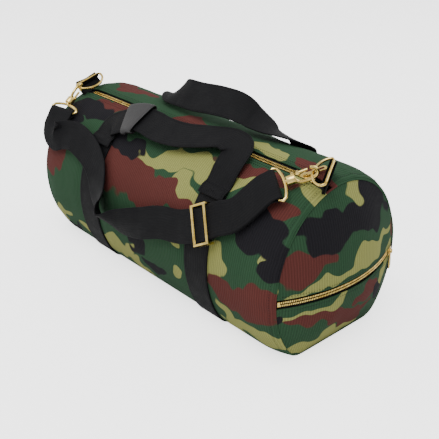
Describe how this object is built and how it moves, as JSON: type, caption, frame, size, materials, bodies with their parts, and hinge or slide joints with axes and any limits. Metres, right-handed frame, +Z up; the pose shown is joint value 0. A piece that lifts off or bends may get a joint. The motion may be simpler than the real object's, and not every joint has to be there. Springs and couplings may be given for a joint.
{
  "type": "drum stick bag",
  "caption": "Padded roll bag for drum sticks with a top zip, end pocket, two carry handles with a leather grip, and a hooked shoulder strap.",
  "frame": {"origin": "on the floor under the middle of the bag", "axes": "+X along the bag to the end with the pocket, +Y to the back, +Z up"},
  "size_m": [0.4887, 0.2385, 0.2396],
  "materials": {
    "cloth": "matt woodland camouflage weave",
    "lining": "matt black lining",
    "webbing": "black woven webbing",
    "zip_tape": "black zip tape",
    "brass": "polished brass plating",
    "leather": "black grained leather"
  },
  "bodies": {
    "bag": {"body_panel": "cloth", "left_end_panel": "cloth", "right_end_panel_upper": "cloth", "right_end_panel_lower": "cloth", "end_pocket_lining": "lining", "left_seam_binding": "lining", "right_seam_binding": "lining", "main_zip_tape_front": "zip_tape", "main_zip_teeth_front": "brass", "main_zip_top_stop_front": "brass", "main_zip_tape_back": "zip_tape", "main_zip_teeth_back": "brass", "main_zip_top_stop_back": "brass", "end_zip_tape_lower": "zip_tape", "end_zip_teeth_lower": "brass", "end_zip_top_stop_lower": "brass", "end_zip_tape_upper": "zip_tape", "end_zip_teeth_upper": "brass", "end_zip_top_stop_upper": "brass", "main_zip_bottom_stop": "brass", "end_zip_bottom_stop": "brass", "left_body_webbing": "webbing", "right_body_webbing": "webbing", "right_ring_tab": "webbing", "left_ring_tab": "webbing"},
    "main_zip_slider": {"main_zip_slider": "brass"},
    "main_zip_pull": {"main_zip_pull": "brass"},
    "end_zip_slider": {"end_zip_slider": "brass"},
    "end_zip_pull": {"end_zip_pull": "brass"},
    "front_handle": {"front_handle": "webbing", "handle_wrap": "leather"},
    "back_handle": {"back_handle": "webbing"},
    "shoulder_strap": {"shoulder_strap": "webbing", "strap_adjuster": "brass", "right_hook_eye": "brass", "left_hook_eye": "brass"},
    "right_hook_claw": {"right_hook_claw": "brass"},
    "left_hook_claw": {"left_hook_claw": "brass"},
    "right_hook_gate": {"right_hook_gate": "brass"},
    "left_hook_gate": {"left_hook_gate": "brass"},
    "right_d_ring": {"right_d_ring": "brass"},
    "left_d_ring": {"left_d_ring": "brass"}
  },
  "joints": [
    {"name": "main_zip_slide", "type": "slide", "parent": "bag", "child": "main_zip_slider", "axis": [1, 0, 0], "range_m": [-0.368, 0]},
    {"name": "main_zip_pull_turn", "type": "hinge", "parent": "main_zip_slider", "child": "main_zip_pull", "pos_m": [0.189, -0.02466, 0.1925], "axis": [0, -0.2706, 0.9627], "range_deg": [0, 110]},
    {"name": "end_zip_slide", "type": "hinge", "parent": "bag", "child": "end_zip_slider", "pos_m": [0.04448, 0, 0.08], "axis": [0, 0, 1], "range_deg": [-49, 0]},
    {"name": "end_zip_pull_turn", "type": "hinge", "parent": "end_zip_slider", "child": "end_zip_pull", "pos_m": [0.22612, 0.08371, 0.08], "axis": [0.9082, 0.4186, 0], "range_deg": [-60, 30]},
    {"name": "front_handle_swing", "type": "hinge", "parent": "bag", "child": "front_handle", "pos_m": [0, -0.0704, 0.166], "axis": [1, 0, 0], "range_deg": [0, 85]},
    {"name": "back_handle_swing", "type": "hinge", "parent": "bag", "child": "back_handle", "pos_m": [0, 0.0704, 0.166], "axis": [-1, 0, 0], "range_deg": [0, 85]},
    {"name": "shoulder_strap_swing", "type": "hinge", "parent": "bag", "child": "shoulder_strap", "pos_m": [0.2029, -0.03023, 0.20245], "axis": [-0.9995, -0.03, -0.0111], "range_deg": [0, 20]},
    {"name": "right_hook_swivel", "type": "hinge", "parent": "shoulder_strap", "child": "right_hook_claw", "pos_m": [0.17937, -0.05909, 0.18841], "axis": [0.5913, 0.7253, 0.3526], "range_deg": [-10, 10]},
    {"name": "left_hook_swivel", "type": "hinge", "parent": "shoulder_strap", "child": "left_hook_claw", "pos_m": [-0.1985, -0.07436, 0.17491], "axis": [-0.1512, 0.8018, 0.5782], "range_deg": [-10, 10]},
    {"name": "right_hook_gate_turn", "type": "hinge", "parent": "right_hook_claw", "child": "right_hook_gate", "pos_m": [0.19333, -0.04265, 0.20208], "axis": [-0.791, 0.6069, 0.078], "range_deg": [0, 25]},
    {"name": "left_hook_gate_turn", "type": "hinge", "parent": "left_hook_claw", "child": "left_hook_gate", "pos_m": [-0.20453, -0.05186, 0.18537], "axis": [0.8887, 0.3664, -0.2756], "range_deg": [0, 25]},
    {"name": "right_ring_swing", "type": "hinge", "parent": "bag", "child": "right_d_ring", "pos_m": [0.219, -0.023, 0.206], "axis": [0.4453, -0.8412, -0.3068], "range_deg": [-3, 3]},
    {"name": "left_ring_swing", "type": "hinge", "parent": "bag", "child": "left_d_ring", "pos_m": [-0.2135, -0.024, 0.2045], "axis": [0.1005, -0.9744, -0.2009], "range_deg": [-3, 3]}
  ]
}
